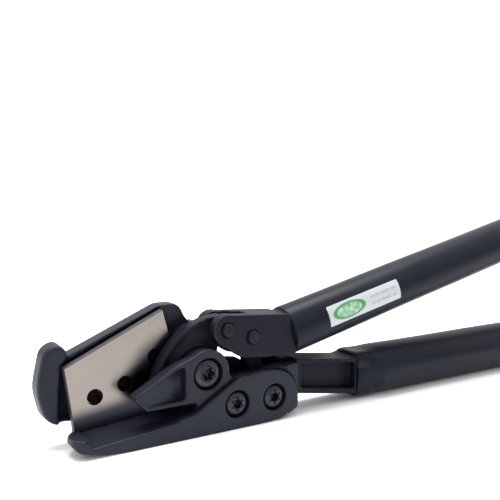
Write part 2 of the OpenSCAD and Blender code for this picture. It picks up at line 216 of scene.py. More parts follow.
def finish(graph, result):
    graph.node("ShaderNodeOutputMaterial", {}, {"Surface": result})


def surface(graph, **sockets):
    """Ends a material with one Principled shader."""
    finish(graph, shader(graph, **sockets))


def rgba(colour, shade=1.0):
    """The colour, darkened by a factor, with its fourth number."""
    return (*(shade * c for c in colour[:3]), 1.0)


# ------------------------------------------------------------------ finishes


def forged_finish(name, colour, edge_wear_and_highlight, roughness, shine):
    """Thin satin black finish on forged steel: cast grain, uneven tone, rubbed edges that are
    lighter partly as real wear and partly as painted highlight, and painted shade, a dull black,
    where other faces shut out the light."""
    material, g = new_material(name)
    place = g.object_place()
    cloud = g.noise(place, 45.0, 3.0)
    grain = g.noise(place, 1500.0, 2.0)
    pits = g.noise(place, 420.0, 3.0, 0.6)
    # lighter convex edges: partly real rubbed finish, partly painted highlight
    wear_and_highlight = (g.attribute("edge") + (cloud - 0.5) * 0.5).between(0.34, 0.95)
    dull = g.mix(cloud.between(0.35, 0.7), rgba(colour, 0.82), rgba(colour))
    base = g.mix(wear_and_highlight * 0.75, dull, rgba(edge_wear_and_highlight))
    rough = roughness + (cloud - 0.5) * 0.12 + (grain - 0.5) * 0.08 - wear_and_highlight * 0.06
    normal = g.bump(grain * 0.35 + pits * 0.65, 0.10 * MM, 0.55)
    satin = shader(g, Base_Color=base, Roughness=rough, Metallic=0.0, Normal=normal,
                   Specular_IOR_Level=shine, Specular_Tint=(0.88, 0.92, 1.0, 1.0))
    # painted shade: a dull near-black shader, mixed in where nearby faces shut out the light
    recess_shade = shader(g, Base_Color=rgba(colour, 0.45), Roughness=0.75,
                  Metallic=0.0, Normal=normal, Specular_IOR_Level=0.05)
    shut = g.attribute("recess").between(0.17, 0.52)
    finish(g, g.node("ShaderNodeMixShader", {}, {0: shut * 0.92, 1: satin, 2: recess_shade}))
    return material


def ground_finish(name, colour, film, along):
    """Satin ground steel: fine grinding lines along one direction, faint stains, a painted dark
    reflection of the foot low on the face, and a painted shadow beside the arm."""
    material, g = new_material(name)
    place = g.object_place()
    turned_place = g.node("ShaderNodeVectorRotate", {"rotation_type": "AXIS_ANGLE"},
                          {"Vector": place, "Axis": (0.0, 1.0, 0.0), "Angle": along})
    lines = g.noise(g.stretched(turned_place, (60.0, 900.0, 5200.0)), 1.0, 3.0, 0.6)
    broad = g.noise(g.stretched(turned_place, (25.0, 300.0, 700.0)), 1.0, 2.0)
    cloud = g.noise(place, 32.0, 2.0)
    dark = rgba(colour, 0.93)
    base = g.mix((lines * 0.5 + broad * 0.5).between(0.3, 0.72), dark, rgba(colour))
    base = g.mix(cloud.between(0.58, 0.8) * 0.10, base, rgba(colour, 0.8))
    across = g.part_of(place)
    up = across.beside("Z")
    drift = (cloud - 0.5) * 3 * MM
    height = up - REFLECTION_LINE[1] - (across - REFLECTION_LINE[0]) * REFLECTION_LINE[2] + drift
    from_arm = ((across - ARM_SHADE_CENTRE[0]) ** 2.0 + (up - ARM_SHADE_CENTRE[1]) ** 2.0) ** 0.5 + drift
    # painted reflection and painted shadow: 0 where the blade takes the dark film colour, low on
    # the face and beside the arm
    clear = height.between(-4.5 * MM, 4.0 * MM) * from_arm.between(*ARM_SHADE_REACH)
    base = g.mix(clear, rgba(film), base)
    rough = 0.26 + (lines - 0.5) * 0.10 + (cloud - 0.5) * 0.08
    surface(g, Base_Color=base, Roughness=rough, Metallic=1.0,
            Normal=g.bump(lines, 0.008 * MM, 0.4))
    return material


def scale_finish(name, colour, shine):
    """A dull grainy finish: mill scale left on the blade's unground edges, and, in near black,
    painted shade in the blade's holes.
    """
    material, g = new_material(name)
    place = g.object_place()
    cloud = g.noise(place, 240.0, 3.0)
    base = g.mix(cloud.between(0.35, 0.7), rgba(colour, 0.8), rgba(colour))
    surface(g, Base_Color=base, Roughness=0.55 + (cloud - 0.5) * 0.2, Metallic=0.0,
            Specular_IOR_Level=shine, Normal=g.bump(cloud, 0.05 * MM, 0.5))
    return material


def fastener_finish(name, colour, roughness, metallic, shine):
    """Turned and blackened steel, with fine tool marks and uneven tone."""
    material, g = new_material(name)
    place = g.object_place()
    cloud = g.noise(place, 160.0, 2.0)
    marks = g.noise(place, 2400.0, 2.0)
    base = g.mix(cloud.between(0.35, 0.75), rgba(colour, 0.7), rgba(colour))
    rough = roughness + (cloud - 0.5) * 0.16 + (marks - 0.5) * 0.06
    surface(g, Base_Color=base, Roughness=rough, Metallic=metallic,
            Specular_IOR_Level=shine, Normal=g.bump(marks, 0.03 * MM, 0.4))
    return material


def vinyl_finish(name, colour, roughness):
    """Dipped vinyl: a soft skin with long shallow ripples, dust and handling marks."""
    material, g = new_material(name)
    place = g.object_place()
    ripple = g.noise(g.stretched(place, (45.0, 120.0, 120.0)), 1.0, 3.0)
    skin = g.noise(place, 1900.0, 2.0)
    cloud = g.noise(place, 22.0, 4.0, 0.6)
    base = g.mix(cloud.between(0.4, 0.75), rgba(colour, 0.86), rgba(colour))
    rough = roughness + (cloud - 0.5) * 0.14 + (skin - 0.5) * 0.05
    surface(g, Base_Color=base, Roughness=rough, Specular_IOR_Level=0.12,
            Specular_Tint=(0.9, 0.94, 1.0, 1.0),
            Normal=g.bump(ripple * 0.8 + skin * 0.2, 0.16 * MM, 0.5))
    return material


def plug_finish(name, colour):
    """Moulded plastic with a fine spark-eroded grain."""
    material, g = new_material(name)
    place = g.object_place()
    grain = g.noise(place, 1200.0, 2.0)
    cloud = g.noise(place, 60.0, 2.0)
    base = g.mix(cloud.between(0.3, 0.7), rgba(colour, 0.8), rgba(colour))
    surface(g, Base_Color=base, Roughness=0.55 + (grain - 0.5) * 0.12,
            Normal=g.bump(grain, 0.05 * MM, 0.6))
    return material


def label_finish(name, ground, ring, centre):
    """Printed film: an oval badge without lettering, and two rows of plain grey bars."""
    material, g = new_material(name)
    place = g.node("ShaderNodeUVMap", {"uv_map": "label"})
    u = g.part_of(place)
    v = u.beside("Y")
    oval = (((u - 0.275) / 0.225) ** 2.0 + ((v - 0.5) / 0.40) ** 2.0) ** 0.5
    inside = 1 - oval.between(0.965, 1.0)
    heart = 1 - oval.between(0.70, 0.80)
    mottle = g.noise(g.object_place(), 260.0, 2.0)
    badge = g.mix(heart * mottle.between(0.2, 0.8), rgba(ring), rgba(centre))
    # rows of plain bars on the right half
    steps = g.noise(g.stretched(place, (34.0, 0.0, 0.0)), 1.0, 0.0)
    row_low = (v - 0.26).between(0.0, 0.02) * (0.40 - v).between(0.0, 0.02)
    row_high = (v - 0.60).between(0.0, 0.02) * (0.74 - v).between(0.0, 0.02)
    stretch = (u - 0.57).between(0.0, 0.01) * (0.95 - u).between(0.0, 0.01)
    bars = (row_low + row_high) * stretch * steps.between(0.40, 0.46)
    paper = g.mix(bars * 0.55, rgba(ground), (0.24, 0.25, 0.27, 1.0))
    base = g.mix(inside, paper, badge)
    surface(g, Base_Color=base, Roughness=0.36 + (mottle - 0.5) * 0.1,
            Normal=g.bump(mottle, 0.02 * MM, 0.4))
    return material


def floor_finish(name, colour):
    """Plain matt studio floor."""
    material, g = new_material(name)
    cloud = g.noise(g.object_place(), 3.0, 2.0)
    base = g.mix(cloud, rgba(colour, 0.985), rgba(colour))
    surface(g, Base_Color=base, Roughness=0.9, Specular_IOR_Level=0.2)
    return material


# ------------------------------------------------------------- mesh helpers


def corners_of(mesh):
    """The mesh's vertices as an array, one row each."""
    flat = np.empty(len(mesh.vertices) * 3, np.float32)
    mesh.vertices.foreach_get("co", flat)
    return flat.reshape(-1, 3).astype(float)


def place_corners(mesh, places):
    mesh.vertices.foreach_set("co", places.astype(np.float32).ravel())
    mesh.update()


def merged_copy(node):
    """A copy of a CAD node's mesh with its loose triangles joined."""
    mesh = frame["nodes"][node].data.copy()
    work = bmesh.new()
    work.from_mesh(mesh)
    bmesh.ops.remove_doubles(work, verts=work.verts, dist=0.001 * MM)
    work.to_mesh(mesh)
    work.free()
    mesh.materials.clear()
    return mesh


def made_mesh(work, name, smooth):
    """Ends a bmesh of a closed shape as a mesh whose faces point outwards."""
    bmesh.ops.recalc_face_normals(work, faces=work.faces)
    mesh = bpy.data.meshes.new(name)
    work.to_mesh(mesh)
    work.free()
    if smooth:
        mesh.shade_smooth()
    else:
        mesh.shade_flat()
    return mesh


def evaluated_mesh(mesh, add_modifier):
    """The mesh after one modifier, as a plain mesh."""
    helper = bpy.data.objects.new("helper", mesh)
    bpy.context.scene.collection.objects.link(helper)
    add_modifier(helper)
    depsgraph = bpy.context.evaluated_depsgraph_get()
    result = bpy.data.meshes.new_from_object(helper.evaluated_get(depsgraph))
    bpy.data.objects.remove(helper)
    return result


def remeshed(mesh, voxel):
    def add(helper):
        modifier = helper.modifiers.new("Even skin", "REMESH")
        modifier.mode = "VOXEL"
        modifier.voxel_size = voxel

    return evaluated_mesh(mesh, add)


def averaged(mesh, values, times, weight=1.0):
    """One row of values per vertex, each moved half way to its neighbours' mean, several
    times. weight scales the step."""
    pairs = np.empty(len(mesh.edges) * 2, np.int32)
    mesh.edges.foreach_get("vertices", pairs)
    first, second = pairs.reshape(-1, 2).T
    count = len(values)
    degree = np.bincount(first, minlength=count) + np.bincount(second, minlength=count)
    for _ in range(times):
        total = np.stack([np.bincount(first, column[second], count)
                          + np.bincount(second, column[first], count)
                          for column in values.T], 1)
        values = values + 0.5 * weight * (total / degree[:, None] - values)
    return values


def keep_attribute(mesh, name, values):
    attribute = mesh.attributes.new(name, "FLOAT", "POINT")
    attribute.data.foreach_set("value", values.astype(np.float32))


def soften(mesh, passes, extra):
    """Rounds the mesh's edges by averaging each vertex with its neighbours, and keeps how far
    each one moved as the attribute "edge". extra holds pairs of passes and a weight function."""
    before = corners_of(mesh)
    base = averaged(mesh, before, passes)
    places = base
    for times, weigh in extra:
        places = averaged(mesh, places, times, weigh(before)[:, None])
    place_corners(mesh, places)
    normals = np.empty(len(places) * 3, np.float32)
    mesh.vertex_normals.foreach_get("vector", normals)
    moved = np.einsum("ij,ij->i", before - base, normals.reshape(-1, 3))
    keep_attribute(mesh, "edge", np.clip(moved / FULL_WEAR_AND_HIGHLIGHT, -1, 1))
    mesh.shade_smooth()


def even_directions(count):
    """Directions spread evenly over a sphere."""
    turns = np.arange(count) * math.pi * (3 - math.sqrt(5))
    heights = 1 - 2 * (np.arange(count) + 0.5) / count
    flat = np.sqrt(1 - heights ** 2)
    return np.stack([flat * np.cos(turns), flat * np.sin(turns), heights], 1)


def frame_tree():
    """All CAD pieces in their rest places, for finding what a ray from a place meets."""
    corners, faces = [], []
    for node in frame["nodes"].values():
        mesh = node.data
        first = len(corners)
        corners.extend(vertex.co[:] for vertex in mesh.vertices)
        faces.extend([first + i for i in face.vertices] for face in mesh.polygons)
    return BVHTree.FromPolygons(corners, faces)


def mark_recesses(mesh, node, tree, shade):
    """Keeps, as the attribute "recess", the share of the light that nearby faces shut out,
    times the given shade. The forged finish paints shade from it."""
    coarse = remeshed(merged_copy(node), SHADE_SKIN)
    directions = even_directions(SHADE_RAYS)
    found = KDTree(len(coarse.vertices))
    shares = np.zeros(len(coarse.vertices))
    for i, vertex in enumerate(coarse.vertices):
        facing = directions @ np.array(vertex.normal)
        outwards = facing > GRAZING
        start = vertex.co + vertex.normal * SHADE_LIFT
        shut = 0.0
        for k in np.nonzero(outwards)[0]:
            hit = tree.ray_cast(start, Vector(directions[k]), SHADE_REACH)
            if hit[0] is not None:
                shut += facing[k] * (1 - 0.5 * hit[3] / SHADE_REACH)
        shares[i] = shut / facing[outwards].sum()
        found.insert(vertex.co, i)
    found.balance()
    values = np.array([[shares[found.find(v.co)[1]]] for v in mesh.vertices])
    keep_attribute(mesh, "recess", shade * averaged(mesh, values, SHADE_PASSES)[:, 0])


def place_piece(name, mesh, materials, node):
    """Puts a finished mesh in the scene as the piece that stands for a CAD node."""
    mesh.name = name
    if len(mesh.materials):
        mesh.materials.clear()      # this also puts every face in slot 0
    for material in materials if isinstance(materials, tuple) else (materials,):
        mesh.materials.append(material)
    piece = bpy.data.objects.new(name, mesh)
    bpy.context.scene.collection.objects.link(piece)
    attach(piece, frame["nodes"][node]["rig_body"])
    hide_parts(node)


def finish_cad_node(node, material):
    """Gives a CAD node that stays as it is its material."""
    mesh = frame["nodes"][node].data
    mesh.materials.clear()
    mesh.materials.append(material)


def islands_of(node):
    """The vertices of each separate solid of a CAD node, from the toe to the handles."""
    work = bmesh.new()
    work.from_mesh(merged_copy(node))
    left, found = set(work.verts), []
    while left:
        stack, members = [left.pop()], []
        while stack:
            vertex = stack.pop()
            members.append(vertex.co[:])
            for edge in vertex.link_edges:
                other = edge.other_vert(vertex)
                if other in left:
                    left.remove(other)
                    stack.append(other)
        found.append(np.array(members))
    work.free()
    return sorted(found, key=lambda points: points[:, 0].mean())


def tube_axis(node):
    """(start, direction, length, outer radius, inner radius) of a round CAD piece."""
    points = corners_of(merged_copy(node))
    middle = (points.min(0) + points.max(0)) / 2
    spread = np.linalg.svd(points - points.mean(0), full_matrices=False)[2][0]
    direction = spread if spread[0] > 0 else -spread
    along = (points - middle) @ direction
    rim = points[along < along.min() + 0.01 * MM]
    start = (rim.min(0) + rim.max(0)) / 2
    offset = points - start
    radius = np.linalg.norm(offset - np.outer(offset @ direction, direction), axis=1)
    return Vector(start), Vector(direction), float(np.ptp(along)), radius.max(), radius.min()


# ------------------------------------------------------------ turned pieces


def turned_tree():
    """Geometry Nodes that turn a profile about local Z and copy it to the places given. A
    profile vertex holds radius, height and how strongly the lobes act on it."""
    tree = bpy.data.node_groups.new("Turned piece", "GeometryNodeTree")
    sockets = tree.interface
    sockets.new_socket("Geometry", in_out="INPUT", socket_type="NodeSocketGeometry")
    for label, kind, value, low in (
        ("Segments", "NodeSocketInt", 96, 6),
        ("Lobes", "NodeSocketInt", 6, 0),
        ("Lobe depth", "NodeSocketFloat", 0.0, 0.0),
        ("Across flats", "NodeSocketFloat", 1.0, 0.0),
        ("Sharp angle", "NodeSocketFloat", math.radians(38), 0.0),
    ):
        made = sockets.new_socket(label, in_out="INPUT", socket_type=kind)
        made.default_value, made.min_value = value, low
    sockets.new_socket("Places", in_out="INPUT", socket_type="NodeSocketObject")
    sockets.new_socket("Material", in_out="INPUT", socket_type="NodeSocketMaterial")
    sockets.new_socket("Geometry", in_out="OUTPUT", socket_type="NodeSocketGeometry")

    g = Graph(tree)
    given = tree.nodes.new("NodeGroupInput")
    inputs = {socket.name: Wire(g, socket) for socket in given.outputs if socket.name}
    count = g.node("GeometryNodeAttributeDomainSize", {"component": "MESH"},
                   {"Geometry": inputs["Geometry"]}, "Point Count")
    sheet = g.node("GeometryNodeMeshGrid", {},
                   {"Size X": 1.0, "Size Y": 1.0, "Vertices X": inputs["Segments"] + 1,
                    "Vertices Y": count}, "Mesh")
    spot = g.node("GeometryNodeInputPosition")
    across = g.part_of(spot)
    turn = (across + 0.5) * FULL_TURN
    row = ((across.beside("Y") + 0.5) * (count - 1)).math("ROUND")
    profile = g.node("GeometryNodeSampleIndex", {"data_type": "FLOAT_VECTOR", "domain": "POINT"},
                     {"Geometry": inputs["Geometry"], "Value": spot, "Index": row})
    radius = g.part_of(profile)
    wave = (turn * inputs["Lobes"]).math("COSINE")
    lobe = 1 + inputs["Lobe depth"] * radius.beside("Z") * wave
    sixth = FULL_TURN / 6
    facet = turn.math("FLOORED_MODULO", sixth) - sixth / 2
    flat = inputs["Across flats"] / 2 / facet.math("COSINE")
    reach = (radius * lobe).math("MINIMUM", flat)
    place = g.node("ShaderNodeCombineXYZ", {},
                   {"X": reach * turn.math("COSINE"), "Y": reach * turn.math("SINE"),
                    "Z": radius.beside("Y")})
    shell = g.node("GeometryNodeSetPosition", {}, {"Geometry": sheet, "Position": place})
    shell = g.node("GeometryNodeMergeByDistance", {},
                   {"Geometry": shell, "Distance": 0.0004 * MM})
    bend = g.node("GeometryNodeInputMeshEdgeAngle")
    sharp = g.node("FunctionNodeCompare", {"data_type": "FLOAT", "operation": "LESS_THAN"},
                   {0: bend, 1: inputs["Sharp angle"]})
    shell = g.node("GeometryNodeSetShadeSmooth", {"domain": "FACE"}, {"Geometry": shell})
    shell = g.node("GeometryNodeSetShadeSmooth", {"domain": "EDGE"},
                   {"Geometry": shell, "Shade Smooth": sharp})
    spots = g.node("GeometryNodeObjectInfo", {"transform_space": "ORIGINAL"},
                   {"Object": inputs["Places"]}, "Geometry")
    copies = g.node("GeometryNodeInstanceOnPoints", {}, {"Points": spots, "Instance": shell})
    solid = g.node("GeometryNodeRealizeInstances", {}, {"Geometry": copies})
    solid = g.node("GeometryNodeSetMaterial", {},
                   {"Geometry": solid, "Material": inputs["Material"]})
    end = tree.nodes.new("NodeGroupOutput")
    tree.links.new(solid.socket, end.inputs[0])
    return tree


def turned(profile, places, to_world, material, **settings):
    """A mesh of the profile turned about local Z, at each of the places, taken to the world."""
    tree = bpy.data.node_groups.get("Turned piece") or turned_tree()
    outline = bpy.data.meshes.new("profile")
    rows = [(*point, 0.0)[:3] for point in profile]
    outline.from_pydata(rows, [(i, i + 1) for i in range(len(rows) - 1)], [])
    spots = bpy.data.meshes.new("places")
    spots.from_pydata([tuple(p) for p in places], [], [])
    holder = bpy.data.objects.new("places", spots)
    bpy.context.scene.collection.objects.link(holder)
    settings = {"Places": holder, "Material": material, **settings}

    def add(helper):
        modifier = helper.modifiers.new("Turned", "NODES")
        modifier.node_group = tree
        for item in tree.interface.items_tree:
            if item.in_out == "INPUT" and item.name in settings:
                modifier[item.identifier] = settings[item.name]

    mesh = evaluated_mesh(outline, add)
    bpy.data.objects.remove(holder)
    work = bmesh.new()
    work.from_mesh(mesh)
    bmesh.ops.recalc_face_normals(work, faces=work.faces)
    work.to_mesh(mesh)
    work.free()
    mesh.transform(to_world)
    return mesh


def arc(centre, radius, start, end, steps=5):
    """Profile points on an arc, from one angle to another, in degrees."""
    angles = np.radians(np.linspace(start, end, steps))
    return [(centre[0] + radius * math.cos(a), centre[1] + radius * math.sin(a))
            for a in angles]


def thread(radius, low, high, pitch, depth):
    """Profile of a threaded length: V grooves a pitch apart."""
    turns = max(1, round((high - low) / pitch))
    step = (high - low) / turns
    points = []
    for i in range(turns):
        z = low + i * step
        points += [(radius - depth, z), (radius, z + 0.38 * step), (radius, z + 0.62 * step)]
    return points + [(radius - depth, high)]


def screw_profile(shank_r, tip, head_r, seat, top, threaded=0.0):
    """Button head screw with a six-lobed recess. Heights run from the tip up to the head."""
    edge = 0.25 * MM
    drive_r = DRIVE_SHARE * head_r
    head = top - seat
    crown = 0.55 * head
    floor_z = seat - 0.25 * head
    rim = 1.12 * drive_r
    wide = 1.7      # the dome is this much wider than it is high
    dome = [(head_r - wide * crown + wide * r, z)
            for r, z in arc((0, top - crown), crown, 0, 90, 7)]
    stem = [(shank_r, tip + 0.5 * MM)]
    if threaded:
        stem = thread(shank_r, tip + 0.5 * MM, tip + threaded, 1.25 * MM, 0.55 * MM)
    return [
        (0, tip), (shank_r - 0.8 * MM, tip), *stem, (shank_r, seat), (head_r - edge, seat),
        (head_r, seat + edge), *dome, (1.25 * drive_r, top), (rim, top, 0.8),
        (drive_r, top - 0.25 * MM, 1), (0.97 * drive_r, floor_z, 1), (0, floor_z - 1.0 * MM),
    ]


def nut_profile(bore_r, corner_r, low, high):
    """Hexagon nut with chamfered corners and a countersunk bore."""
    slope = 0.10 * corner_r
    lip = 0.6 * MM
    return [
        (bore_r + lip, low), (0.9 * corner_r, low), (corner_r, low + slope),
        (corner_r, high - slope), (0.9 * corner_r, high), (bore_r + lip, high),
        (bore_r, high - lip), (bore_r, low + lip), (bore_r + lip, low),
    ]


def ring_profile(inner, outer, low, high, edge):
    """Flat ring or bush with small chamfers."""
    return [
        (inner + edge, low), (outer - edge, low), (outer, low + edge), (outer, high - edge),
        (outer - edge, high), (inner + edge, high), (inner, high - edge), (inner, low + edge),
        (inner + edge, low),
    ]


# ------------------------------------------------------------------ settings


def colour_property(name, description, default):
    return bpy.props.FloatVectorProperty(name=name, description=description, default=default,
                                         subtype="COLOR", size=3, min=0.0, max=1.0)


def length_property(name, description, default, top):
    return bpy.props.FloatProperty(name=name, description=description, default=default,
                                   min=0.0, max=top, unit="LENGTH", subtype="DISTANCE")


class CutterSizes(bpy.types.PropertyGroup):
    """Sizes of the detail that is added to the frame."""

    skin: length_property("Skin size", "Size of the small faces on the forgings",
                          0.5 * MM, 2 * MM)
    rounding: bpy.props.IntProperty(
        name="Edge rounding", description="Passes that round the edges of the forgings",
        default=7, min=0, max=40)
    nose_rounding: bpy.props.IntProperty(
        name="Nose rounding", description="Extra passes on the near edge of the nose",
        default=60, min=0, max=200)
    blade_bevel: length_property("Blade bevel", "Width of the bevel along the blade's top",
                                 0.2 * MM, 3 * MM)
    blade_edge: length_property("Blade edge", "Width of the broken edges of the blade",
                                0.15 * MM, 1 * MM)
    pin_edge: length_property("Pin edge", "Rounding of the ends of the fork pins",
                              0.9 * MM, 2 * MM)
    sleeve_waves: length_property("Sleeve waves", "Unevenness of the grip sleeves",
                                  0.16 * MM, 1 * MM)
    label_corner: length_property("Label corner", "Corner radius of the label",
                                  0.8 * MM, 5 * MM)


class CutterFinishes(bpy.types.PropertyGroup):
    """Colours of the strap cutter."""

    forged: colour_property("Forgings", "Satin black finish on the forged parts",
                            (0.0132, 0.01452, 0.0242))
    # deep: a darker copy of the forged finish, partly a darker real tone of these parts and
    # partly painted shade
    deep: colour_property("Deep black", "Darker finish of the arm, fork, link and lever",
                          (0.01056, 0.011, 0.01716))
    # lighter edge colour: partly real rubbed finish, partly painted highlight
    edge_wear_and_highlight: colour_property("Worn edges", "Forged parts where the finish is rubbed",
                          (0.044, 0.04664, 0.05808))
    blade: colour_property("Blade", "Ground blade steel", (0.2306, 0.2086, 0.1874))
    # this colour is the painted dark reflection and painted shadow on the blade's face
    film: colour_property("Film", "Oil film on the blade", (0.02904, 0.03168, 0.04136))
    # bore colour: near black, painted shade inside the holes of the blade
    bore: colour_property("Bores", "Inside of the holes in the blade", (0.006, 0.004, 0.005))
    scale: colour_property("Scale", "Unground edges of the blade", (0.0748, 0.0704, 0.07216))
    fastener: colour_property("Fasteners", "Blackened screws, pins and nuts",
                              (0.01584, 0.01672, 0.02288))
    steel: colour_property("Bare steel", "Washer and bushes", (0.3696, 0.3696, 0.3872))
    vinyl: colour_property("Grips", "Dipped vinyl sleeves", (0.0092, 0.0108, 0.018))
    plug: colour_property("Plugs", "End plugs of the handles", (0.01056, 0.01056, 0.01232))
    label_ground: colour_property("Label", "Ground of the label", (0.44, 0.4664, 0.4884))
    label_ring: colour_property("Label ring", "Ring of the oval badge", (0.0616, 0.22, 0.088))
    label_heart: colour_property("Label heart", "Centre of the badge", (0.4048, 0.616, 0.4664))


class StudioSettings(bpy.types.PropertyGroup):
    """Camera, lights and floor."""

    lens: bpy.props.FloatProperty(
        name="Focal length", description="Focal length of the camera, in millimetres",
        default=50.4, min=20.0, max=200.0, unit="CAMERA")
    fill: bpy.props.FloatProperty(
        name="Fill", description="Strength of the even light all round",
        default=1.22, min=0.0, max=4.0)
    dim: bpy.props.FloatProperty(
        name="Dim side", description="Share of the fill that comes from behind the camera",
        default=0.35, min=0.0, max=1.0)
    key: bpy.props.FloatProperty(
        name="Key", description="Power of the soft light overhead, in watts",
        default=18.0, min=0.0, max=200.0)
    ground: colour_property("Floor", "Colour of the studio floor", (0.985, 0.985, 0.985))


# ----------------------------------------------------------------- forgings


def ramp(values, low, high):
    """0 at low, 1 at high, smoothly, for an array of values."""
    t = np.clip((values - low) / (high - low), 0, 1)
    return t * t * (3 - 2 * t)


class STRAPCUTTER_OT_forgings(bpy.types.Operator):
    """Make each forging: an even skin with rounded edges and blended corners"""

    bl_idname = "strapcutter.forgings"
    bl_label = "Forgings"

    def execute(self, context):
        sizes, tints = context.scene.cutter_sizes, context.scene.cutter_finishes
        skin = forged_finish("forged black", tints.forged, tints.edge_wear_and_highlight, 0.44, 0.21)
        # a darker, less shiny copy of the forged finish: partly real tone, partly painted shade
        deep = forged_finish("forged deep black", tints.deep, tints.edge_wear_and_highlight, 0.46, 0.10)
        tree = frame_tree()
        nose_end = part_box("blade_holder")[0].x
        holder_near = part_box("blade_holder")[0].y
        plate_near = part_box("near_side_plate")[0].y
        boss_left = -15 * MM

        def nose(points):
            reach = 1 - ramp(points[:, 0], nose_end + 14 * MM, nose_end + 20 * MM)
            return reach * (1 - ramp(points[:, 1], holder_near + 9 * MM, holder_near + 12 * MM))

        def boss_wall(points):
            near = np.abs(points[:, 0] - boss_left + 1.5 * MM)
            deep = ramp(points[:, 1], plate_near + 1.0 * MM, plate_near + 2.6 * MM)
            return (1 - ramp(near, 4 * MM, 7 * MM)) * deep

        usual = sizes.rounding
        # the last column scales the painted shade in recesses on each forging
        for name, node, material, passes, extra, shade in (
            ("foot_forging", "foot", skin, usual, [], 0.7),
            ("near_plate_forging", "near_side_plate", skin, usual, [(50, boss_wall)], 1.5),
            ("lever_forging", "lower_lever", deep, usual, [], 1.0),
            ("arm_forging", "jaw_arm", deep, 4, [], 1.0),
            ("holder_forging", "blade_holder", skin, usual, [(sizes.nose_rounding, nose)], 1.0),
            ("fork_forging", "upper_fork", deep, 10, [], 1.0),
            ("link_forging", "toggle_link", deep, 4, [], 1.0),
        ):
            mesh = remeshed(merged_copy(node), sizes.skin * (1))
            soften(mesh, passes, extra)
            mark_recesses(mesh, node, tree, shade)
            place_piece(name, mesh, material, node)
        return {"FINISHED"}


# -------------------------------------------------------------------- blade


def boundary_loops(mesh, plane, facing):
    """Closed loops of vertices round the flat face of a mesh at one height across the tool,
    the outer one first. facing is the face's direction along Y."""
    work = bmesh.new()
    work.from_mesh(mesh)
    work.normal_update()
    flat = {f for f in work.faces
            if f.normal.y * facing > 0.99 and abs(f.calc_center_median().y - plane) < 0.01 * MM}
    rim = [e for e in work.edges if sum(f in flat for f in e.link_faces) == 1]
    links = {}
    for edge in rim:
        for vertex in edge.verts:
            links.setdefault(vertex, []).append(edge.other_vert(vertex))
    loops = []
    while links:
        start = next(iter(links))
        loop, here, last = [start], links[start][0], start
        while here is not start:
            loop.append(here)
            ahead = [v for v in links[here] if v is not last]
            last, here = here, ahead[0]
        for vertex in loop:
            del links[vertex]
        loops.append(np.array([(v.co.x, v.co.z) for v in loop]))
    work.free()

    def area(loop):
        x, z = loop.T
        return 0.5 * float(np.sum(x * np.roll(z, -1) - z * np.roll(x, -1)))

    loops = [loop if area(loop) > 0 else loop[::-1] for loop in loops]
    return sorted(loops, key=lambda loop: -area(loop))


def inset(loop, widths):
    """A loop moved inwards, each edge by its own width."""
    ahead = np.roll(loop, -1, 0) - loop
    ahead /= np.linalg.norm(ahead, axis=1)[:, None]
    inward = np.stack([-ahead[:, 1], ahead[:, 0]], 1)
    moved = []
    for i, corner in enumerate(loop):
        n0, n1 = inward[i - 1], inward[i]
        sides = np.array([n0, n1])
        if abs(np.linalg.det(sides)) < 0.05:
            moved.append(corner + (n0 + n1) / 2 * (widths[i - 1] + widths[i]) / 2)
        else:
            moved.append(corner + np.linalg.solve(sides, [widths[i - 1], widths[i]]))
    return np.array(moved)


def blade_mesh(sizes):
    """The blade: a flat plate with broken edges. Its faces have the material slots of
    the ground steel, 0, the bores, 1, and the unground edges, 2."""
    low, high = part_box("upper_blade")
    source = merged_copy("upper_blade")
    near = boundary_loops(source, low.y, -1)
    far = boundary_loops(source, high.y, 1)
    outer, holes, deep_holes = near[0], near[1:], far[1:]
    top_run = np.roll(outer, -1, 0) - outer
    lengths = np.linalg.norm(top_run, axis=1)
    facing_up = (top_run[:, 0] < 0) & (lengths > 40 * MM)
    facing_up &= outer[:, 1] > (low.z + high.z) / 2
    widths = np.where(facing_up, sizes.blade_bevel, sizes.blade_edge)
    edge = sizes.blade_edge
    floor_y = high.y - 1.5 * MM
    work = bmesh.new()

    def ring(loop, y):
        return [work.verts.new((x, y, z)) for x, z in loop]

    def band(a, b, slot=0):
        for i in range(len(a)):
            j = (i + 1) % len(a)
            work.faces.new((a[i], a[j], b[j], b[i])).material_index = slot

    def cap(rings):
        pairs = [(r[i], r[(i + 1) % len(r)]) for r in rings for i in range(len(r))]
        edges = [work.edges.get(pair) or work.edges.new(pair) for pair in pairs]
        bmesh.ops.triangle_fill(work, edges=edges, use_beauty=True, use_dissolve=False)

    def hole_ring(loop, y, grow):
        middle = loop.mean(0)
        away = loop - middle
        away /= np.linalg.norm(away, axis=1)[:, None]
        return ring(loop + away * grow, y)

    front = ring(inset(outer, widths), low.y)
    shoulder = ring(outer, low.y + edge * 2)
    back_edge = ring(outer, high.y - edge)
    back = ring(inset(outer, np.full(len(outer), edge)), high.y)
    band(front, shoulder, 2)
    band(shoulder, back_edge, 2)
    band(back_edge, back)
    front_holes, back_holes = [], []
    for wide, small in zip(sorted(holes, key=lambda h: h[:, 0].mean()),
                           sorted(deep_holes, key=lambda h: h[:, 0].mean())):
        mouth = hole_ring(wide, low.y, 0.15 * MM)
        throat = hole_ring(wide, low.y + 0.3 * MM, 0.0)
        step = hole_ring(wide, floor_y, 0.0)
        band(throat, mouth, 1)
        band(step, throat, 1)
        inner = hole_ring(small, floor_y, 0.0)
        exit_ring = hole_ring(small, high.y, 0.0)
        cap([step, inner])
        band(exit_ring, inner, 1)
        front_holes.append(mouth)
        back_holes.append(exit_ring)
    cap([front, *front_holes])
    cap([back, *back_holes])
    return made_mesh(work, "blade", smooth=False)


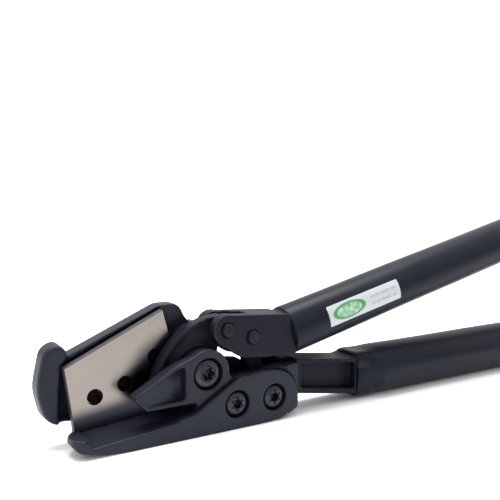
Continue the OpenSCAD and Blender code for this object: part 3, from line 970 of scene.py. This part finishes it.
class STRAPCUTTER_OT_blade(bpy.types.Operator):
    """Make the ground blade"""

    bl_idname = "strapcutter.blade"
    bl_label = "Blade"

    def execute(self, context):
        sizes, tints = context.scene.cutter_sizes, context.scene.cutter_finishes
        # tints.film is the colour of the painted reflection and painted shadow on the blade
        steel = ground_finish("ground blade steel", tints.blade, tints.film, math.radians(24))
        # painted shade: the walls of the blade's holes are near black
        bore = scale_finish("black bore", tints.bore, 0.02)
        scale = scale_finish("mill scale", tints.scale, 0.2)
        place_piece("ground_blade", blade_mesh(sizes), (steel, bore, scale), "upper_blade")
        return {"FINISHED"}


# ---------------------------------------------------------------- fasteners


def round_sizes(points):
    """(middle, distance of each point from the axis along Y) of a round solid."""
    middle = (points.min(0) + points.max(0)) / 2
    return middle, np.hypot(points[:, 0] - middle[0], points[:, 2] - middle[2])


def head_sizes(points, near):
    """(place, shank radius, tip, head radius, seat, top) of a screw solid. Heights run along
    local Z, which points from the tip to the head."""
    middle, radius = round_sizes(points)
    height = -points[:, 1] if near else points[:, 1]
    head_r = radius.max()
    seat = height[radius > 0.97 * head_r].min()
    tip = height.min()
    shank_r = radius[height < tip + 0.01 * MM].max()
    place = (middle[0], middle[2] if near else -middle[2], 0.0)
    return place, shank_r, tip, head_r, seat, height.max()


def screw_set(name, node, material, near, threaded=0.0):
    """The screws of one CAD node, all alike, made once and copied to their places."""
    found = [head_sizes(points, near) for points in islands_of(node)]
    profile = screw_profile(*found[0][1:], threaded)
    mesh = turned(profile, [f[0] for f in found], TO_NEAR if near else TO_FAR, material,
                  **{"Lobe depth": LOBE_DEPTH})
    place_piece(name, mesh, material, node)


def nut_set(name, node, material):
    """The hexagon nuts of one CAD node."""
    places = []
    for points in islands_of(node):
        middle, radius = round_sizes(points)
        places.append((middle[0], -middle[2], 0.0))
    profile = nut_profile(radius.min(), radius.max(), points[:, 1].min(), points[:, 1].max())
    flats = 2 * radius.max() * math.cos(math.radians(30))
    mesh = turned(profile, places, TO_FAR, material,
                  **{"Across flats": flats, "Segments": 72, "Sharp angle": math.radians(20)})
    place_piece(name, mesh, material, node)


def ring_piece(name, node, material, edge):
    """A washer or bush."""
    points = corners_of(merged_copy(node))
    middle, radius = round_sizes(points)
    profile = ring_profile(radius.min(), radius.max(), points[:, 1].min(),
                           points[:, 1].max(), edge)
    mesh = turned(profile, [(middle[0], -middle[2], 0.0)], TO_FAR, material)
    place_piece(name, mesh, material, node)


def pin_piece(name, node, material, edge):
    """A fork pin with softly rounded ends."""
    low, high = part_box(node)
    radius = (high.x - low.x) / 2
    centre = radius - edge
    profile = [(0, low.y), *arc((centre, low.y + edge), edge, -90, 0, 6),
               *arc((centre, high.y - edge), edge, 0, 90, 6), (0, high.y)]
    mesh = turned(profile, [(low.x + radius, -(low.z + high.z) / 2, 0.0)], TO_FAR, material)
    place_piece(name, mesh, material, node)


class STRAPCUTTER_OT_fasteners(bpy.types.Operator):
    """Make the screws, nuts, washer, bushes and pins"""

    bl_idname = "strapcutter.fasteners"
    bl_label = "Fasteners"

    def execute(self, context):
        sizes, tints = context.scene.cutter_sizes, context.scene.cutter_finishes
        black = fastener_finish("blackened steel", tints.fastener, 0.32, 0.0, 0.38)
        # painted shade: the blade screws' ends, seen down the blade's holes, take the near-black
        # bore colour and almost no shine
        shadowed = fastener_finish("oiled steel", tints.bore, 0.6, 0.0, 0.05)
        # the fork pins take the deep black: partly real tone, partly painted shade
        dull = fastener_finish("dull black pin", tints.deep, 0.48, 0.0, 0.14)
        bright = fastener_finish("bare steel", tints.steel, 0.32, 1.0, 0.5)
        screw_set("pivot_screw", "pivot_bolt", black, near=True, threaded=11 * MM)
        screw_set("body_screw_pair", "body_screws", black, near=True, threaded=9 * MM)
        screw_set("blade_screw_set", "blade_screws", shadowed, near=False)
        screw_set("holder_screw_pair", "holder_screws", black, near=False)
        nut_set("pivot_hex_nut", "pivot_nut", black)
        nut_set("body_hex_nuts", "body_nuts", black)
        ring_piece("pivot_flat_washer", "pivot_washer", bright, 0.25 * MM)
        ring_piece("pivot_sleeve_bush", "pivot_bush", bright, 0.2 * MM)
        ring_piece("eye_sleeve_bush", "eye_bush", bright, 0.2 * MM)
        pin_piece("arm_fork_pin", "arm_pin", dull, sizes.pin_edge)
        pin_piece("link_fork_pin", "link_pin", dull, sizes.pin_edge)
        return {"FINISHED"}


# ------------------------------------------------------------------ handles


class Sleeve:
    """A grip sleeve's outside: how far it stands from the handle's axis at each place."""

    def __init__(self, node, waves, seed, collar=None):
        self.start, self.direction, self.length, self.radius, self.bore = tube_axis(node)
        self.waves = waves
        self.collar = collar        # (half width, half height, length) of a square mouth
        draws = np.random.default_rng(seed)
        self.terms = [
            (draws.uniform(8, 60), int(draws.integers(0, 4)), draws.uniform(0, FULL_TURN),
             draws.uniform(0.3, 1.0)) for _ in range(14)
        ]
        self.puckers = [
            (draws.uniform(2, 15) * MM, draws.uniform(0, FULL_TURN), draws.uniform(1.6, 3.2) * MM,
             draws.uniform(0.25, 0.6), draws.uniform(-0.25, 0.6) * MM) for _ in range(26)
        ] if collar else []

    def frame(self):
        """The handle's own axes: along it, sideways to the near side, and up."""
        side = Vector((0, -1, 0))
        return self.direction, side, self.direction.cross(side) * -1

    def reach(self, along, turn):
        """Distance of the skin from the axis. turn is 0 at the near side, a quarter turn up."""
        wave = sum(size * np.sin(rate * along + lobes * turn + phase)
                   for rate, lobes, phase, size in self.terms) / 3
        skin = self.radius + self.waves * (wave - 1)
        mouth = 1.6 * MM
        lip = np.clip(1 - along / mouth, 0, 1)
        skin = skin - 0.8 * MM * (1 - np.sqrt(np.maximum(0, 1 - lip ** 2)))
        if self.collar:
            half_w, half_h, reach = self.collar
            square = 5.0
            c, s = np.abs(np.cos(turn)), np.abs(np.sin(turn))
            boxy = ((c / half_w) ** square + (s / half_h) ** square) ** (-1 / square)
            blend = ramp(along, 0.25 * reach, reach)
            boxy = boxy - 0.5 * MM * (1 - np.sqrt(np.maximum(0, 1 - lip ** 2)))
            skin = boxy * (1 - blend) + skin * blend
            for place, angle, spread, turn_spread, size in self.puckers:
                gap = np.angle(np.exp(1j * (turn - angle)))
                skin = skin + size * np.exp(-((along - place) / spread) ** 2
                                            - (gap / turn_spread) ** 2)
        return skin

    def point(self, along, turn, out):
        ahead, side, up = self.frame()
        return (self.start + ahead * along + side * (out * math.cos(turn))
                + up * (out * math.sin(turn)))


def sleeve_mesh(sleeve, start, wall):
    """The sleeve as a closed skin: outside, mouth, bore and far end."""
    around = 120
    mouth_end = start + 24 * MM     # rings are closer together from the mouth to here
    fine = np.concatenate([np.linspace(start, mouth_end, 40, endpoint=False),
                           np.linspace(mouth_end, sleeve.length, 150)])
    work = bmesh.new()
    turns = [FULL_TURN * i / around for i in range(around)]

    def ring(along, inside):
        outs = sleeve.reach(np.full(around, along - start), np.array(turns))
        if inside and sleeve.collar:
            outs = np.maximum(outs - wall, sleeve.bore)
        elif inside:
            outs = np.full(around, sleeve.bore)
        return [work.verts.new(sleeve.point(along, t, o)) for t, o in zip(turns, outs)]

    rings = [ring(a, False) for a in fine]
    rings += [ring(a, True) for a in (sleeve.length, start + 40 * MM, mouth_end,
                                      start + 8 * MM, start)]
    for a, b in zip(rings, rings[1:] + rings[:1]):
        for i in range(around):
            j = (i + 1) % around
            work.faces.new((a[i], a[j], b[j], b[i]))
    return made_mesh(work, "sleeve", smooth=True)


def upper_sleeve(sizes):
    return Sleeve("upper_grip", sizes.sleeve_waves, seed=11)


def plug_piece(name, node, grip, material):
    """An end plug: a rounded cap with a shallow dished end and a moulded step."""
    origin, direction, *_ = tube_axis(grip)
    points = corners_of(merged_copy(node)) - np.array(origin)
    along = points @ np.array(direction)
    spread = np.linalg.norm(points - np.outer(along, np.array(direction)), axis=1)
    start = origin + direction * float(along.min())
    along = along - along.min()
    length, radius = along.max(), spread.max()
    stem_r = spread[along < 0.05 * MM].max()
    shoulder = along[spread > 0.98 * radius].min()
    crown = min(5.0 * MM, length - shoulder)
    profile = [
        (0, 0), (stem_r - 0.5 * MM, 0), (stem_r, 0.5 * MM), (stem_r, shoulder),
        (radius - 0.3 * MM, shoulder), (radius, shoulder + 0.3 * MM),
        *arc((radius - crown, length - crown), crown, 0, 80, 9),
        (0.45 * radius, length), (0.40 * radius, length - 0.5 * MM), (0, length - 0.8 * MM),
    ]
    turn = direction.to_track_quat("Z", "Y").to_matrix().to_4x4()
    mesh = turned(profile, [(0, 0, 0)], Matrix.Translation(start) @ turn, material)
    place_piece(name, mesh, material, node)


class STRAPCUTTER_OT_handles(bpy.types.Operator):
    """Make the grip sleeves and the end plugs, and give the tubes their finish"""

    bl_idname = "strapcutter.handles"
    bl_label = "Handles"

    def execute(self, context):
        sizes, tints = context.scene.cutter_sizes, context.scene.cutter_finishes
        vinyl = vinyl_finish("dipped vinyl", tints.vinyl, 0.36)
        plastic = plug_finish("moulded plastic", tints.plug)
        tube = fastener_finish("drawn tube", tints.fastener, 0.4, 0.0, 0.3)
        lower = Sleeve("lower_grip", sizes.sleeve_waves, 5, LOWER_MOUTH)
        for name, node, sleeve, start in (
            ("upper_sleeve", "upper_grip", upper_sleeve(sizes), 0.0),
            ("lower_sleeve", "lower_grip", lower, LOWER_START),
        ):
            place_piece(name, sleeve_mesh(sleeve, start, SLEEVE_WALL), vinyl, node)
        plug_piece("upper_plug", "upper_end_plug", "upper_grip", plastic)
        plug_piece("lower_plug", "lower_end_plug", "lower_grip", plastic)
        for node in ("lower_tube", "upper_tube"):
            finish_cad_node(node, tube)
        return {"FINISHED"}


# -------------------------------------------------------------------- label


def label_mesh(sizes):
    """A thin film with rounded corners, laid on the upper sleeve."""
    sleeve = upper_sleeve(sizes)
    points = corners_of(merged_copy("label_sticker"))
    ahead, side, up = sleeve.frame()
    offset = points - np.array(sleeve.start)
    along = offset @ np.array(ahead)
    turns = np.arctan2(offset @ np.array(up), offset @ np.array(side))
    first, last = along.min(), along.max()
    low, high = turns.min(), turns.max()
    radius = sleeve.radius
    tall = (high - low) * radius
    corner = sizes.label_corner
    film = 0.14 * MM
    columns, rows = 96, 26
    work = bmesh.new()
    uv = work.loops.layers.uv.new("label")
    sheets = []
    for lift in (film, 0.02 * MM):
        sheet = []
        for j in range(rows + 1):
            t = 0.5 - 0.5 * math.cos(math.pi * j / rows)
            height = t * tall
            over = max(0.0, corner - height, height - (tall - corner))
            cut = corner - math.sqrt(max(0.0, corner ** 2 - over ** 2))
            line = []
            for i in range(columns + 1):
                a = first + cut + (last - first - 2 * cut) * i / columns
                turn = low + height / radius
                out = float(sleeve.reach(np.array(a), np.array(turn))) + lift
                line.append((work.verts.new(sleeve.point(a, turn, out)),
                             ((a - first) / (last - first), t)))
            sheet.append(line)
        sheets.append(sheet)

    def face(*spots):
        made = work.faces.new([s[0] for s in spots])
        for loop, spot in zip(made.loops, spots):
            loop[uv].uv = spot[1]

    for sheet in sheets:
        for j in range(rows):
            for i in range(columns):
                face(sheet[j][i], sheet[j][i + 1], sheet[j + 1][i + 1], sheet[j + 1][i])

    def border(sheet):
        return (sheet[0] + [line[-1] for line in sheet[1:]] + sheet[-1][-2::-1]
                + [line[0] for line in sheet[-2:0:-1]])

    outer, inner = border(sheets[0]), border(sheets[1])
    for i in range(len(outer)):
        j = (i + 1) % len(outer)
        face(outer[i], outer[j], inner[j], inner[i])
    return made_mesh(work, "label", smooth=True)


class STRAPCUTTER_OT_label(bpy.types.Operator):
    """Make the label on the upper grip"""

    bl_idname = "strapcutter.label"
    bl_label = "Label"

    def execute(self, context):
        sizes, tints = context.scene.cutter_sizes, context.scene.cutter_finishes
        film = label_finish("printed film", tints.label_ground, tints.label_ring,
                            tints.label_heart)
        place_piece("label_film", label_mesh(sizes), film, "label_sticker")
        return {"FINISHED"}


# ------------------------------------------------------------------- studio


class STRAPCUTTER_OT_studio(bpy.types.Operator):
    """Make the floor, the lights and the camera"""

    bl_idname = "strapcutter.studio"
    bl_label = "Studio"

    def execute(self, context):
        scene, settings = context.scene, context.scene.cutter_studio
        half, drop = 12.0, 0.1 * MM
        floor_mesh = bpy.data.meshes.new("studio_floor")
        floor_mesh.from_pydata([(-half, -half, -drop), (half, -half, -drop),
                                (half, half, -drop), (-half, half, -drop)],
                               [], [(0, 1, 2, 3)])
        floor_mesh.materials.append(floor_finish("studio floor", settings.ground))
        floor = bpy.data.objects.new("studio_floor", floor_mesh)
        scene.collection.objects.link(floor)

        world = bpy.data.worlds.new("studio")
        world.use_nodes = True
        g = Graph(world.node_tree)
        toward = g.node("ShaderNodeTexCoord", output="Generated")
        ahead = g.part_of(toward, "Y")
        height = ahead * 0.8 + ahead.beside("Z")
        bright = settings.dim + (1 - settings.dim) * height.between(-0.55, 0.15)
        light = world.node_tree.nodes["Background"]
        light.inputs["Color"].default_value = (1.0, 1.0, 1.0, 1.0)
        world.node_tree.links.new((bright * settings.fill).socket, light.inputs["Strength"])
        scene.world = world
        scene.view_settings.view_transform = "Standard"

        def aimed(name, data, place, ahead):
            """An object that looks along a direction."""
            made = bpy.data.objects.new(name, data)
            made.location = place
            made.rotation_euler = Vector(ahead).to_track_quat("-Z", "Y").to_euler()
            scene.collection.objects.link(made)
            return made

        lamp = bpy.data.lights.new("overhead", "AREA")
        lamp.shape, lamp.size, lamp.size_y = "RECTANGLE", 1.0, 0.5
        lamp.energy = settings.key
        aimed("overhead", lamp, (0.1, 0.15, 1.1), (0.0, -0.15, -1.05))

        lens = bpy.data.cameras.new("camera")
        lens.lens, lens.sensor_width = settings.lens, 36.0
        scene.camera = aimed("camera", lens, CAMERA_PLACE, CAMERA_AHEAD)
        return {"FINISHED"}


class STRAPCUTTER_PT_panel(bpy.types.Panel):
    """Sizes, finishes and the steps that build the strap cutter"""

    bl_idname = "STRAPCUTTER_PT_panel"
    bl_label = "Strap Cutter"
    bl_space_type = "VIEW_3D"
    bl_region_type = "UI"
    bl_category = "Strap Cutter"

    def draw(self, context):
        scene = context.scene
        for group in (scene.cutter_sizes, scene.cutter_finishes, scene.cutter_studio):
            box = self.layout.box()
            for name in group.bl_rna.properties.keys():
                if name not in ("rna_type", "name"):
                    box.prop(group, name)
        for operator in OPERATORS:
            self.layout.operator(operator.bl_idname)


OPERATORS = (STRAPCUTTER_OT_forgings, STRAPCUTTER_OT_blade, STRAPCUTTER_OT_fasteners,
             STRAPCUTTER_OT_handles, STRAPCUTTER_OT_label, STRAPCUTTER_OT_studio)
GROUPS = {"cutter_sizes": CutterSizes, "cutter_finishes": CutterFinishes,
          "cutter_studio": StudioSettings}


def register():
    for group in (*GROUPS.values(), *OPERATORS, STRAPCUTTER_PT_panel):
        bpy.utils.register_class(group)
    for name, group in GROUPS.items():
        setattr(bpy.types.Scene, name, bpy.props.PointerProperty(type=group))


def unregister():
    for name in GROUPS:
        delattr(bpy.types.Scene, name)
    for group in (STRAPCUTTER_PT_panel, *OPERATORS, *GROUPS.values()):
        bpy.utils.unregister_class(group)


def main():
    register()
    for operator in OPERATORS:
        name = operator.bl_idname.split(".")[1]
        getattr(bpy.ops.strapcutter, name)()


if __name__ == "__main__":
    main()
